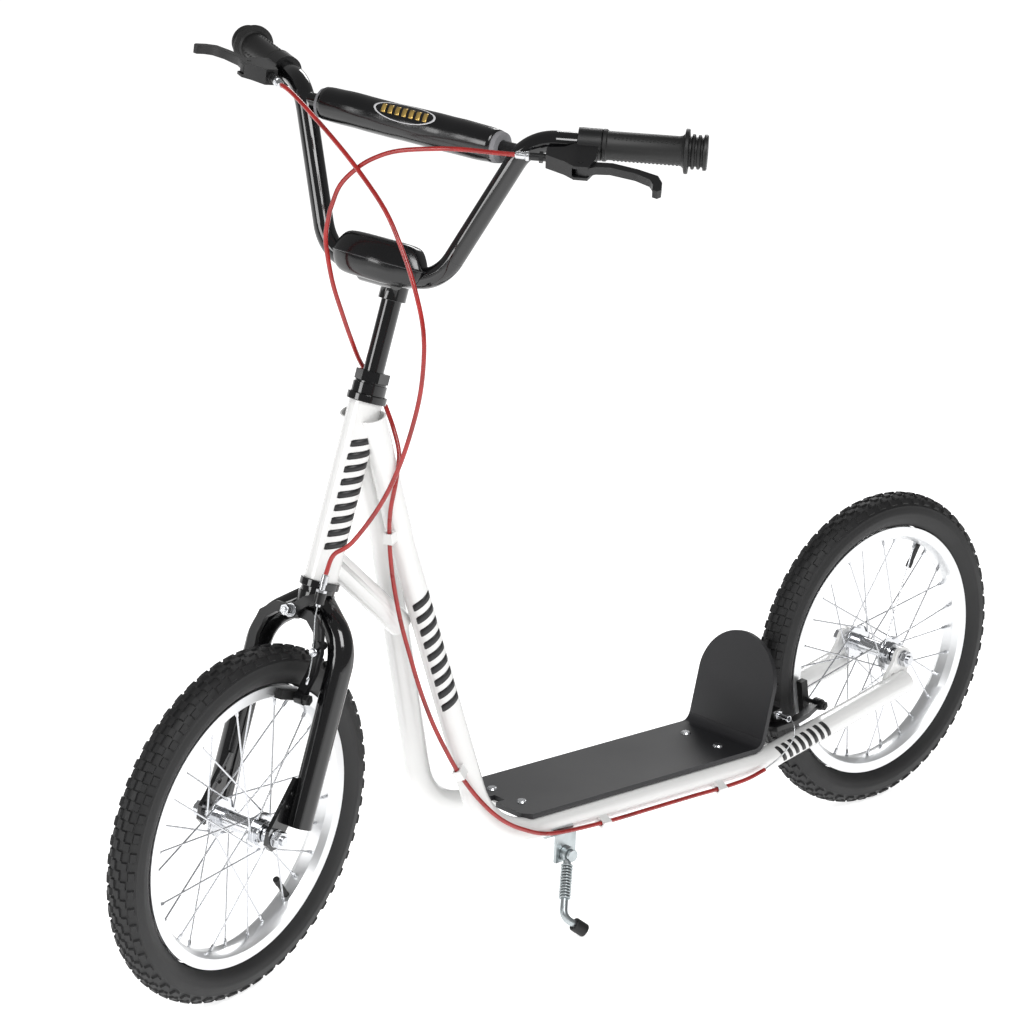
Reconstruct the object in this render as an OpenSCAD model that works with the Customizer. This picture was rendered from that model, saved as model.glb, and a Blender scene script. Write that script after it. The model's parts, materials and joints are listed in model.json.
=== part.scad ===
// Kick scooter with two spoked wheels, a welded frame, two rim brakes and an adjustable bar.
// Frame: +X forward, +Y the rider's left, +Z up, origin on the ground midway between the axles.
// The whole steering group stands turned by steer_turn about the tilted steering axis.

/* [Overall] */
// Distance between the two axles
wheel_base = 1000; // [940:10:1080]
// Outer diameter of the tyres
tyre_outer_d = 396; // [370:2:410]
// Angle of the steering axis from the ground
head_angle = 73.5; // [70:0.5:77]
// Distance of the front axle in front of the steering axis
fork_rake = 32; // [26:1:40]
// How far the steering group is turned to the left at rest
steer_turn = 12; // [0:1:20]

/* [Frame] */
// Outer diameter of the two main tubes
main_tube_d = 28.6; // [24:0.2:31]
// Wall of the main tubes
main_tube_wall = 1.6; // [1.2:0.2:2.5]
// Height of the main tubes' centre under the deck
tube_height = 120; // [108:1:130]
// Half the distance between the main tubes under the deck
tube_half_gap = 53; // [48:1:58]
// Half the distance between the main tubes behind the head tube
tube_top_half_gap = 15.9; // [15.6:0.1:18]
// Outer diameter of the head tube
head_tube_d = 36; // [34:0.5:38]
// Length of the head tube
head_tube_len = 195; // [160:5:200]

/* [Deck] */
// Width of the deck plate
deck_w = 122; // [108:1:130]
// Flat length of the deck in front of its bend
deck_len = 366; // [320:2:380]
// Thickness of the deck plate
deck_t = 6; // [4:0.5:8]
// Length of the raised kick plate above the bend
kick_len = 116; // [90:2:130]

/* [Wheels] */
// Rim diameter over its lips
rim_outer_d = 314; // [300:2:320]
// Diameter of the tyre's round section
tyre_section_d = 45.5; // [42:0.5:50]
// Number of spokes in a wheel
spoke_count = 28; // [20:4:36]
// Diameter of the axles
axle_d = 10; // [8:0.5:12]
// Distance between a wheel's two dropouts
axle_gap = 88; // [84:1:96]

/* [Handlebar] */
// Outer diameter of the bar tube
bar_d = 22.2; // [20:0.2:24]
// Outer diameter of the quill stem
quill_d = 22.2; // [20:0.2:22.2]
// Half the width of the bar, to the grip ends
bar_half_w = 302; // [270:2:310]
// Length of a grip
grip_len = 104; // [90:2:115]
// Outer diameter of the crossbar pad
pad_d = 40; // [36:1:46]

/* [Hidden] */
$fn = 64;

// Colours
white_paint = [0.95, 0.95, 0.95];
black_paint = [0.06, 0.06, 0.06];
rubber = [0.10, 0.10, 0.10];
silver = [0.78, 0.79, 0.80];
zinc = [0.62, 0.65, 0.66];
cable_red = [0.66, 0.13, 0.13];

// Clearances
gap = 0.4;
run_fit = 0.05;
small = 0.01;

// Wheel and steering layout
axle_z = tyre_outer_d / 2;
steer_origin = [wheel_base / 2 - fork_rake * sin(head_angle), 0,
  axle_z - fork_rake * cos(head_angle)];

// Places along the steering axis, measured from the point nearest the front axle
head_low = 270;
head_high = head_low + head_tube_len;
crown_z = 238;
stem_z = 605;
stem_reach = 30;
quill_low = 380;
steerer_d = 25.4;

// Brake geometry, measured out from a wheel's axle
brake_pivot_r = 235;
brake_pad_r = 149;
rim_half_w = 14;
pad_gap = 3;

// Main tube corners, left side
tube_top = [341, tube_top_half_gap, 622];
tube_knee = [295, tube_top_half_gap, 478];
tube_front = [186, tube_half_gap, tube_height];
tube_rear = [-262, tube_half_gap, tube_height];
stay_rise = 49;
tube_end = [-wheel_base / 2 - 3, tube_half_gap, tube_height + stay_rise];
deck_top = tube_height + main_tube_d / 2 + deck_t;
deck_bend_x = -232;
deck_bend_r = 12;
deck_bend_angle = 78;

// Bar corners in the steering frame, left side
bar_low = [stem_reach, 73, stem_z];
bar_high = [45, 149, 772];
bar_end = [-40, bar_half_w, 803];
left_lever_tilt = 38;
right_lever_tilt = 12;

// ---------- vectors ----------
function unit(v) = v / norm(v);
function flip_y(p, side) = [p[0], p[1] * side, p[2]];
function turn_y(p, a) = [p[0] * cos(a) + p[2] * sin(a), p[1], p[2] * cos(a) - p[0] * sin(a)];
function turn_z(p, a) = [p[0] * cos(a) - p[1] * sin(a), p[0] * sin(a) + p[1] * cos(a), p[2]];
function from_steering(p) = steer_origin + turn_y(turn_z(p, steer_turn), head_angle - 90);

// ---------- placing ----------
// Children are in the steering frame: X forward, Y left, Z up the steering axis
module steering() {
  translate(steer_origin)
    rotate([0, head_angle - 90, 0])
      rotate([0, 0, steer_turn])
        children();
}

// Children stand on point a with their Z axis towards point b
module along(a, b) {
  d = b - a;
  translate(a)
    rotate([0, acos(d[2] / norm(d)), atan2(d[1], d[0])])
      children();
}

module rod(a, b, d) {
  along(a, b)
    cylinder(h = norm(b - a), d = d);
}

// Children have their X, Y and Z axes along x, y and z, at point p
module placed(p, x, y, z) {
  multmatrix([[x[0], y[0], z[0], p[0]], [x[1], y[1], z[1], p[1]],
    [x[2], y[2], z[2], p[2]], [0, 0, 0, 1]])
    children();
}

// A ring section, solid where the bore is 0
module ring_section(d, bore) {
  difference() {
    circle(d = d);
    if (bore > 0) circle(d = bore);
  }
}

// A round bar through points, with a bend of radius r[i] at each inner point.
// Bends are a little thicker than the straight runs that reach into them.
module bent_bar(points, r, d, extra = 0) {
  last = len(points) - 1;
  way = [for (i = [0:last - 1]) unit(points[i + 1] - points[i])];
  turn = [for (i = [1:last - 1]) acos(way[i - 1] * way[i])];
  trim = [for (i = [0:last - 2]) r[i] * tan(turn[i] / 2)];
  reach = 1;
  for (i = [0:last - 1]) {
    a = points[i] + way[i] * (i == 0 ? -extra : trim[i - 1] - reach);
    b = points[i + 1] + way[i] * (i == last - 1 ? extra : reach - trim[i]);
    rod(a, b, d);
  }
  for (i = [1:last - 1]) {
    u = way[i - 1];
    inward = unit(way[i] - u * (way[i] * u));
    centre = points[i] - u * trim[i - 1] + inward * r[i - 1];
    placed(centre, -inward, u, cross(-inward, u))
      rotate_extrude(angle = turn[i - 1], $fn = 96)
        translate([r[i - 1], 0])
          circle(d = d + 0.2);
  }
}

module bent_tube(points, r, d, bore) {
  difference() {
    bent_bar(points, r, d);
    bent_bar(points, r, bore, 1);
  }
}

// ---------- cables ----------
function curve_point(a, b, c, d, t) = 0.5 * (2 * b + (c - a) * t
  + (2 * a - 5 * b + 4 * c - d) * t * t + (3 * b - a - 3 * c + d) * t * t * t);
function smooth_path(p, steps) = concat([for (i = [0:len(p) - 2]) for (j = [0:steps - 1])
  curve_point(p[max(i - 1, 0)], p[i], p[i + 1], p[min(i + 2, len(p) - 1)], j / steps)],
  [p[len(p) - 1]]);
function path_ways(p) = [for (i = [0:len(p) - 1])
  unit(p[min(i + 1, len(p) - 1)] - p[max(i - 1, 0)])];
function path_sides(ways, i, side) = let (s = unit(side - ways[i] * (side * ways[i])))
  i == len(ways) - 1 ? [s] : concat([s], path_sides(ways, i + 1, s));

// A round cable of diameter d along a path
module cable(path, d, sides = 8) {
  ways = path_ways(path);
  side = path_sides(ways, 0, [0.31, 0.52, 0.79]);
  n = len(path);
  skin = [for (i = [0:n - 1]) for (k = [0:sides - 1])
    path[i] + d / 2 * (side[i] * cos(360 * k / sides)
      + cross(ways[i], side[i]) * sin(360 * k / sides))];
  walls = [for (i = [0:n - 2]) for (k = [0:sides - 1]) for (h = [0:1])
    let (a = i * sides + k, b = i * sides + (k + 1) % sides)
      h == 0 ? [a, a + sides, b + sides] : [a, b + sides, b]];
  start = [for (k = [0:sides - 1]) k];
  finish = [for (k = [0:sides - 1]) n * sides - 1 - k];
  polyhedron(points = skin, faces = concat(walls, [start], [finish]));
}

// ---------- frame ----------
module head_tube() {
  color(white_paint)
    steering()
      translate([0, 0, head_low])
        difference() {
          cylinder(h = head_tube_len, d = head_tube_d);
          translate([0, 0, -1])
            cylinder(h = head_tube_len + 2, d = head_tube_d - 4);
        }
}

module main_tube(side) {
  points = [for (p = [tube_top, tube_knee, tube_front, tube_rear, tube_end]) flip_y(p, side)];
  bends = [260, 90, 140];
  difference() {
    bent_tube(points, bends, main_tube_d, main_tube_d - 2 * main_tube_wall);
    // Mitre where the tube is welded to the head tube
    steering()
      translate([0, 0, head_low])
        cylinder(h = head_tube_len + 60, d = head_tube_d + small);
  }
}

// One straight run of a main tube, to cut what is welded to it
module tube_run(side, a, b) {
  rod(flip_y(a, side), flip_y(b, side), main_tube_d + small);
}

module left_main_tube() {
  color(white_paint)
    main_tube(1);
}

module right_main_tube() {
  color(white_paint)
    main_tube(-1);
}

strut_d = 28.6;
strut_top = [390, 0, 478];
strut_low = [279, 0, 377];

module diagonal_strut() {
  color(white_paint)
    difference() {
      rod(strut_low, strut_top, strut_d);
      steering()
        translate([0, 0, head_low])
          cylinder(h = head_tube_len, d = head_tube_d + small);
      for (side = [-1, 1])
        tube_run(side, tube_knee, tube_front);
    }
}

brake_tilt = 11.7;
bridge_t = 4;
bridge_half_h = 13;

// Children are in the rear brake's frame: X up the pivot bolt, Y left, Z out from the axle
module rear_brake() {
  translate([-wheel_base / 2, 0, axle_z])
    rotate([0, 90 + brake_tilt, 0])
      mirror([1, 0, 0])
        translate([-left_arm_x - arm_t / 2, 0, 0])
          children();
}

// Flat bars under the deck that take its screws
module deck_crossmembers() {
  bar_t = 5;
  bar_w = 30;
  color(white_paint)
    difference() {
      for (x = [screw_spots[0][0], screw_spots[2][0]])
        translate([x - bar_w / 2, -tube_half_gap, deck_top - deck_t - bar_t])
          cube([bar_w, 2 * tube_half_gap, bar_t - small]);
      for (s = screw_spots)
        translate([s[0], s[1], deck_top - 30])
          cylinder(h = 30, d = screw_d + small);
      for (side = [-1, 1])
        tube_run(side, tube_front, tube_rear);
    }
}

module brake_bridge() {
  // Its ends reach half way into the tube walls
  half_w = tube_half_gap - main_tube_d / 2 + main_tube_wall / 2;
  color(white_paint)
    rear_brake()
      difference() {
        translate([-bridge_t / 2, -half_w, brake_pivot_r - bridge_half_h])
          cube([bridge_t, 2 * half_w, 2 * bridge_half_h]);
        translate([0, 0, brake_pivot_r])
          rotate([0, 90, 0])
            cylinder(h = 20, d = bolt_d + gap, center = true);
      }
}

dropout_t = 5;

module rear_dropouts() {
  color(white_paint)
    for (side = [-1, 1])
      difference() {
        translate([-wheel_base / 2, side * (axle_gap + dropout_t) / 2, axle_z])
          rotate([90, 0, 0])
            linear_extrude(height = dropout_t, center = true)
              difference() {
                union() {
                  circle(r = 14);
                  polygon([[-14, 0], [14, 0], [30, -22], [28, -38], [-3, -42], [-10, -20]]);
                }
                circle(r = axle_d / 2 + 0.3);
                translate([16, -19])
                  circle(r = 3);
              }
        tube_run(side, tube_rear, tube_end + unit(tube_end - tube_rear) * 2);
      }
}

// Each clip: a point on the cable, the way the cable runs there, and the way to the tube
clips = [[[319, 24, 487], [-0.12, -0.03, -1], [-1, -0.45, 0.2]],
  [[233, 55, 210], [-0.5, 0.2, -0.84], [-0.8, -0.5, 0.3]],
  [[22, 71, 110], [-1, 0, 0], [0, -1, 0.55]],
  [[-166, 71, 109], [-1, 0, 0], [0, -1, 0.6]]];

module cable_clips() {
  color(white_paint)
    difference() {
      for (c = clips) {
        way = unit(c[1]);
        to_tube = unit(c[2] - way * (c[2] * way));
        placed(c[0], to_tube, cross(way, to_tube), way)
          translate([-5, -5, -6])
            cube([18, 10, 12]);
      }
      for (c = clips)
        rod(c[0] - unit(c[1]) * 20, c[0] + unit(c[1]) * 20, cable_d + 2);
      tube_run(1, tube_top, tube_knee);
      tube_run(1, tube_knee, tube_front);
      tube_run(1, tube_front, tube_rear);
    }
}

// ---------- deck ----------
module deck_outline() {
  front = deck_bend_x + deck_len;
  half = deck_w / 2;
  chamfer = 9;
  notch_half = 9;
  notch_deep = 14;
  rear = deck_bend_x - 1;
  polygon([[rear, -half], [front - chamfer, -half], [front, chamfer - half],
    [front, -notch_half], [front - notch_deep, -notch_half],
    [front - notch_deep, notch_half], [front, notch_half], [front, half - chamfer],
    [front - chamfer, half], [rear, half]]);
}

screw_d = 6;
screw_spots = [[deck_bend_x + deck_len - 25, 25], [deck_bend_x + deck_len - 25, -25],
  [deck_bend_x + 28, 27], [deck_bend_x + 28, -27]];

// The raised plate flat in X and Y, its rounded top towards -Y
module kick_outline() {
  half = deck_w / 2;
  top_r = half + 0.3;
  intersection() {
    translate([-half, -kick_len])
      square([deck_w, kick_len + 1]);
    union() {
      translate([0, top_r - kick_len])
        circle(r = top_r, $fn = 128);
      translate([-deck_w, top_r - kick_len])
        square([2 * deck_w, kick_len - top_r + 1]);
    }
  }
}

module deck() {
  skin = 0.1;
  color(black_paint)
    difference() {
      union() {
        translate([0, 0, deck_top - deck_t])
          linear_extrude(height = deck_t)
            deck_outline();
        translate([deck_bend_x, 0, deck_top + deck_bend_r])
          rotate([90, 0, 0])
            rotate([0, 0, -90 - deck_bend_angle]) {
              rotate_extrude(angle = deck_bend_angle)
                translate([deck_bend_r - skin, -deck_w / 2 - skin])
                  square([deck_t + 2 * skin, deck_w + 2 * skin]);
              translate([deck_bend_r, 0, 0])
                rotate([0, 90, 0])
                  linear_extrude(height = deck_t)
                    kick_outline();
            }
      }
      for (s = screw_spots)
        translate([s[0], s[1], deck_top - deck_t - 1])
          cylinder(h = deck_t + 2, d = screw_d + gap);
    }
}

module deck_screws() {
  color(silver)
    for (s = screw_spots)
      translate([s[0], s[1], deck_top]) {
        cylinder(h = 2.4, d1 = 13, d2 = 10);
        translate([0, 0, -deck_t - 9])
          cylinder(h = deck_t + 9.1, d = screw_d);
      }
}

// ---------- headset ----------
cup_d = 43;

// A cup pressed into the head tube, its open mouth upwards
module headset_cup() {
  bore = head_tube_d - 4 - small;
  difference() {
    union() {
      translate([0, 0, small])
        cylinder(h = 8, d = cup_d);
      translate([0, 0, -8])
        cylinder(h = 9, d = bore);
    }
    translate([0, 0, -9])
      cylinder(h = 20, d = steerer_d + 1.4);
    translate([0, 0, 3])
      cylinder(h = 6, d = cup_d - 5);
  }
}

module headset_cups() {
  color(black_paint)
    steering() {
      translate([0, 0, head_high])
        headset_cup();
      translate([0, 0, head_low])
        mirror([0, 0, 1])
          headset_cup();
    }
}

module headset_nuts() {
  color(black_paint)
    steering()
      translate([0, 0, head_high]) {
        // Adjusting cone, its lower end running inside the cup
        translate([0, 0, 4.5])
          ring(4, 36.4, steerer_d + small);
        translate([0, 0, 8.4])
          ring(11, 37, steerer_d + small);
        // Washer and lock nut
        translate([0, 0, 19.5])
          ring(2, 34, steerer_d + small);
        translate([0, 0, 21.6])
          hex_ring(11, 32, steerer_d + small);
      }
}

// ---------- fork ----------
crown_d = 40;
crown_h = 22;

module fork_steerer() {
  color(black_paint)
    steering()
      difference() {
        union() {
          translate([0, 0, crown_z])
            cylinder(h = head_high + 30 - crown_z, d = steerer_d);
          // Crown and the race that the lower cup turns on
          translate([0, 0, crown_z - 4])
            cylinder(h = crown_h, d = crown_d);
          translate([0, 0, crown_z])
            cylinder(h = head_low - crown_z - 3.6, d = 37);
        }
        translate([0, 0, 290])
          cylinder(h = 400, d = quill_d + 2 * run_fit);
        translate([0, 0, brake_pivot_r])
          rotate([0, 90, 0])
            cylinder(h = 60, d = bolt_d + small, center = true);
      }
}

leg_d = 28;
leg_gap_y = 55;
leg_low = [5, leg_gap_y, 14];
leg_bend = [5, leg_gap_y, 212];
leg_top = [0, 6, 250];

// The left leg, in the steering frame
module fork_leg() {
  color(black_paint)
    difference() {
      bent_tube([leg_low, leg_bend, leg_top], [52], leg_d, leg_d - 3.2);
      translate([0, 0, crown_z - 4])
        cylinder(h = 60, d = crown_d + small);
      translate([-30, -60, 200])
        cube([60, 60, 100]);
    }
}

module fork_left_leg() {
  steering()
    fork_leg();
}

module fork_right_leg() {
  steering()
    mirror([0, 1, 0])
      fork_leg();
}

module fork_dropouts() {
  color(black_paint)
    steering()
      for (side = [-1, 1])
        difference() {
          translate([0, side * (axle_gap + dropout_t) / 2, 0])
            rotate([90, 0, 0])
              linear_extrude(height = dropout_t, center = true)
                difference() {
                  polygon([[8, 64], [22, 66], [fork_rake + 14, 6], [fork_rake + 12, -9],
                    [fork_rake + 2, -15], [fork_rake - 8, -11], [14, 16], [8, 22]]);
                  translate([fork_rake, 0])
                    circle(r = axle_d / 2 + 0.3);
                  translate([26, 34])
                    circle(r = 3);
                  translate([23, 48])
                    circle(r = 2.5);
                }
          rod(flip_y(leg_low, side), flip_y(leg_bend, side), leg_d + small);
        }
}

// ---------- wheels ----------
// Wheel parts lie with their axle along Z
module front_wheel() {
  steering()
    translate([fork_rake, 0, 0])
      rotate([90, 0, 0])
        children();
}

module rear_wheel() {
  translate([-wheel_base / 2, 0, axle_z])
    rotate([90, 0, 0])
      children();
}

section_r = tyre_outer_d / 2 - tyre_section_d / 2;
rim_r = rim_outer_d / 2;
lip_w = 1.6;

module tyre() {
  color(rubber)
    rotate_extrude($fn = 180)
      difference() {
        translate([section_r, 0])
          circle(d = tyre_section_d);
        translate([section_r, 0])
          circle(d = tyre_section_d - 9);
        // Mouth between the beads
        translate([rim_r - 12, -8])
          square([16, 16]);
        // Room for the rim's lips and floor
        for (s = [-1, 1])
          translate([rim_r - 20, s * (rim_half_w + 20 - lip_w) - 20])
            square([20 + gap, 40]);
        translate([rim_r - 20, -30])
          square([14, 60]);
      }
}

front_valve_angle = 215;
rear_valve_angle = 120;
tube_d = tyre_section_d - 14;
valve_d = 6.5;

// The inner tube with its valve, the valve at the given angle round the wheel
module inner_tube(valve_angle) {
  color(rubber) {
    rotate_extrude($fn = 120)
      translate([section_r, 0])
        ring_section(tube_d, tube_d - 3);
    rotate([0, 0, valve_angle])
      translate([rim_r - 48, 0, 0])
        rotate([0, 90, 0]) {
          cylinder(h = 9, d = valve_d + 1.2);
          cylinder(h = section_r - tube_d / 2 - rim_r + 49, d = valve_d);
        }
  }
}

module rim(valve_angle) {
  color(silver)
    difference() {
      rim_hoop();
      rotate([0, 0, valve_angle])
        rotate([0, 90, 0])
          cylinder(h = rim_r, d = valve_d + 1);
    }
}

module rim_hoop() {
  rotate_extrude($fn = 180)
    difference() {
      polygon([[rim_r, rim_half_w], [rim_r, rim_half_w - lip_w],
        [rim_r - 7, rim_half_w - lip_w], [rim_r - 7, lip_w - rim_half_w],
        [rim_r, lip_w - rim_half_w], [rim_r, -rim_half_w], [rim_r - 12, -rim_half_w],
        [rim_r - 17, -7], [rim_r - 17, 7], [rim_r - 12, rim_half_w]]);
      polygon([[rim_r - 9, 11], [rim_r - 9, -11], [rim_r - 12, -11.5],
        [rim_r - 15, -6], [rim_r - 15, 6], [rim_r - 12, 11.5]]);
    }
}

flange_r = 19;
flange_y = 27;
flange_t = 3;

module hub() {
  color(silver)
    difference() {
      union() {
        cylinder(h = 2 * flange_y, d = 20, center = true);
        for (s = [-1, 1]) {
          translate([0, 0, s * flange_y])
            cylinder(h = flange_t, r = flange_r + 3, center = true);
          translate([0, 0, s * (flange_y + 4)])
            cylinder(h = 8, d = 28, center = true);
        }
      }
      cylinder(h = 100, d = axle_d + 2 * run_fit, center = true);
    }
}

spoke_d = 2;

module spokes() {
  lead = 68;
  step = 360 / spoke_count;
  color(silver)
    for (i = [0:spoke_count - 1]) {
      s = i % 2 == 0 ? 1 : -1;
      way = floor(i / 2) % 2 == 0 ? 1 : -1;
      hub_angle = i * step - way * lead;
      hub_z = flange_y + way * (flange_t + spoke_d) / 2;
      rod([flange_r * cos(hub_angle), flange_r * sin(hub_angle), s * hub_z],
        [(rim_r - 15.6) * cos(i * step), (rim_r - 15.6) * sin(i * step), s * 2.5], spoke_d);
    }
}

// The axle with its cones, washers and nuts
module axle_set() {
  color(silver) {
    cylinder(h = axle_gap + 36, d = axle_d, center = true);
    for (s = [-1, 1])
      facing(s) {
        translate([0, 0, 36])
          ring(axle_gap / 2 - 36 - small, 18, axle_d + 0.1);
        translate([0, 0, axle_gap / 2 + dropout_t + small])
          ring(1.6, 20, axle_d + 0.1);
        translate([0, 0, axle_gap / 2 + dropout_t + 1.7])
          hex_ring(8, 17, axle_d + 0.1);
      }
  }
}

// Children point up for s = 1 and down for s = -1
module facing(s) {
  rotate([s < 0 ? 180 : 0, 0, 0])
    children();
}

module ring(h, d, bore) {
  difference() {
    cylinder(h = h, d = d);
    translate([0, 0, -1])
      cylinder(h = h + 2, d = bore);
  }
}

module hex_ring(h, flats, bore) {
  difference() {
    cylinder(h = h, d = flats / cos(30), $fn = 6);
    translate([0, 0, -1])
      cylinder(h = h + 2, d = bore);
  }
}

module front_tyre() {
  front_wheel() tyre();
}

module front_inner_tube() {
  front_wheel() inner_tube(front_valve_angle);
}

module front_rim() {
  front_wheel() rim(front_valve_angle);
}

module front_spokes() {
  front_wheel() spokes();
}

module front_hub() {
  front_wheel() hub();
}

module front_axle() {
  front_wheel() axle_set();
}

module rear_tyre() {
  rear_wheel() tyre();
}

module rear_inner_tube() {
  rear_wheel() inner_tube(rear_valve_angle);
}

module rear_rim() {
  rear_wheel() rim(rear_valve_angle);
}

module rear_spokes() {
  rear_wheel() spokes();
}

module rear_hub() {
  rear_wheel() hub();
}

module rear_axle() {
  rear_wheel() axle_set();
}

// ---------- brakes ----------
arm_t = 6;
arm_w = 11;
bolt_d = 6;
left_arm_x = 26;
right_arm_x = 32.4;
pad_t = 9;
pad_len = 48;
pad_h = 10;
front_eye_y = 34;
rear_eye_y = 46;

// Middle line of a brake arm from the pivot to its pad's eye
function arm_line(eye_y) = [[0, brake_pivot_r], [20, brake_pivot_r - 1], [eye_y + 1, 222],
  [eye_y + 7, 200], [eye_y + 6, 178], [eye_y + 1, 160], [eye_y, brake_pad_r]];

// How far point i of a line moves to reach the edge of a band of width arm_w
function edge_step(line, i) = let (last = len(line) - 1,
  a = unit(line[max(i, 1)] - line[max(i, 1) - 1]),
  b = unit(line[min(i, last - 1) + 1] - line[min(i, last - 1)]),
  n = unit([-a[1] - b[1], a[0] + b[0]]))
  n * arm_w / 2 / (n * [-a[1], a[0]]);

// A flat band of metal along a line in the brake's Y Z plane
module band(x, line) {
  last = len(line) - 1;
  left = [for (i = [0:last]) line[i] + edge_step(line, i)];
  right = [for (i = [last:-1:0]) line[i] - edge_step(line, i)];
  translate([x, 0, 0])
    rotate([90, 0, 90])
      linear_extrude(height = arm_t)
        polygon(concat(left, right));
}

// An arm on the left side, at x along the pivot bolt
module brake_arm(x, eye_y) {
  difference() {
    union() {
      band(x, arm_line(eye_y));
      translate([x, 0, brake_pivot_r])
        rotate([0, 90, 0])
          cylinder(h = arm_t, d = 18);
      // Eye that holds the pad's stud
      translate([x + arm_t / 2, eye_y - 5, brake_pad_r])
        rotate([-90, 0, 0])
          cylinder(h = 10, d = 14);
      children();
    }
    translate([x - 1, 0, brake_pivot_r])
      rotate([0, 90, 0])
        cylinder(h = arm_t + 2, d = bolt_d + 2 * run_fit);
    translate([x + arm_t / 2, 0, brake_pad_r])
      rotate([-90, 0, 0])
        cylinder(h = 2 * eye_y, d = 6 + small);
  }
}

// A pad on the left side, its stud through the eye of the arm at x
module pad(x, eye_y) {
  inner = rim_half_w + pad_gap;
  color(rubber)
    translate([x + arm_t / 2, inner, brake_pad_r]) {
      translate([-pad_len / 2, 0, -pad_h / 2])
        cube([pad_len, pad_t, pad_h]);
      rotate([-90, 0, 0]) {
        cylinder(h = eye_y + 13 - inner, d = 6);
        translate([0, 0, eye_y + 5.1 - inner])
          cylinder(h = 6, d = 12, $fn = 6);
      }
    }
}

anchor = [40, 208];
front_stop = [30, 256];
rear_stop = [36, 214];
stop_bore = 2.4;

module front_left_arm() {
  color(black_paint)
    steering()
      brake_arm(left_arm_x, front_eye_y)
        translate([left_arm_x - 5, anchor[0], anchor[1]])
          rotate([0, 90, 0])
            cylinder(h = arm_t + 9, d = 9);
}

module front_right_arm() {
  color(black_paint)
    steering()
      difference() {
        union() {
          mirror([0, 1, 0])
            brake_arm(right_arm_x, front_eye_y);
          difference() {
            band(right_arm_x, [[0, brake_pivot_r], [14, 248], front_stop]);
            translate([right_arm_x - 1, 0, brake_pivot_r])
              rotate([0, 90, 0])
                cylinder(h = arm_t + 2, d = bolt_d + 2 * run_fit);
          }
          translate([right_arm_x + arm_t / 2, front_stop[0], front_stop[1] - 6])
            cylinder(h = 12, d = 12);
        }
        translate([right_arm_x + arm_t / 2, front_stop[0], front_stop[1] - 20])
          cylinder(h = 40, d = 6 + small);
      }
}

// Hollow adjusting screw with its nut, 30 long
module barrel() {
  translate([0, 0, -9])
    ring(28, 6, stop_bore);
  translate([0, 0, 6.1])
    hex_ring(3, 10, 6 - small);
  translate([0, 0, 15])
    difference() {
      cylinder(h = 10, d = 8);
      translate([0, 0, -1])
        cylinder(h = 12, d = stop_bore);
      translate([0, 0, 4])
        cylinder(h = 12, d = cable_d + gap);
    }
}

module front_cable_stop() {
  color(silver)
    steering()
      translate([right_arm_x + arm_t / 2, front_stop[0], front_stop[1]])
        barrel();
}

rear_stop_x = 41;

module rear_cable_stop() {
  color(silver)
    rear_brake()
      translate([rear_stop_x, rear_stop[0], rear_stop[1]])
        rotate([-90, 0, 0])
          barrel();
}

module rear_left_arm() {
  color(black_paint)
    rear_brake()
      difference() {
        brake_arm(left_arm_x, rear_eye_y) {
          // Lug that the cable's stop screws into
          translate([left_arm_x, rear_stop[0] - 6, rear_stop[1] - 6])
            cube([rear_stop_x - left_arm_x + 6, 12, 12]);
        }
        translate([rear_stop_x, 0, rear_stop[1]])
          rotate([-90, 0, 0])
            cylinder(h = 80, d = 6 + small);
      }
}

module rear_right_arm() {
  color(black_paint)
    rear_brake()
      mirror([0, 1, 0])
        brake_arm(right_arm_x, rear_eye_y)
          translate([right_arm_x, rear_eye_y, rear_stop[1]])
            rotate([0, 90, 0])
              cylinder(h = arm_t + 9, d = 9);
}

module front_left_pad() {
  steering()
    pad(left_arm_x, front_eye_y);
}

module front_right_pad() {
  steering()
    mirror([0, 1, 0])
      pad(right_arm_x, front_eye_y);
}

module rear_left_pad() {
  rear_brake()
    pad(left_arm_x, rear_eye_y);
}

module rear_right_pad() {
  rear_brake()
    mirror([0, 1, 0])
      pad(right_arm_x, rear_eye_y);
}

// Pivot bolt from its head at the given x to the nuts in front of the arms
module brake_bolt(from_x, seat_x) {
  front = right_arm_x + arm_t + 0.3;
  color(silver)
    translate([0, 0, brake_pivot_r])
      rotate([0, 90, 0]) {
        translate([0, 0, from_x])
          cylinder(h = front + 14 - from_x, d = bolt_d);
        translate([0, 0, from_x - 5])
          cylinder(h = 5.1, d = 12, $fn = 6);
        // Spacer between its seat and the arms
        translate([0, 0, seat_x])
          cylinder(h = left_arm_x - 0.3 - seat_x, d = 14);
        translate([0, 0, front])
          cylinder(h = 1.5, d = 15);
        translate([0, 0, front + 1.4])
          cylinder(h = 5, d = 12, $fn = 6);
        translate([0, 0, front + 6.8])
          cylinder(h = 5, d = 12, $fn = 6);
      }
}

module front_brake_bolt() {
  steering()
    brake_bolt(-crown_d / 2 - 0.3, crown_d / 2);
}

module rear_brake_bolt() {
  rear_brake()
    brake_bolt(-bridge_t / 2 - small, bridge_t / 2 + small);
}

// ---------- kickstand ----------
stand_x = 85;
stand_y = tube_half_gap;
stand_pivot = [stand_x - 12, stand_y + 12, 82];
stand_knee = [106, 98, 24];
stand_tip = [86, 108, 8];

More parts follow.
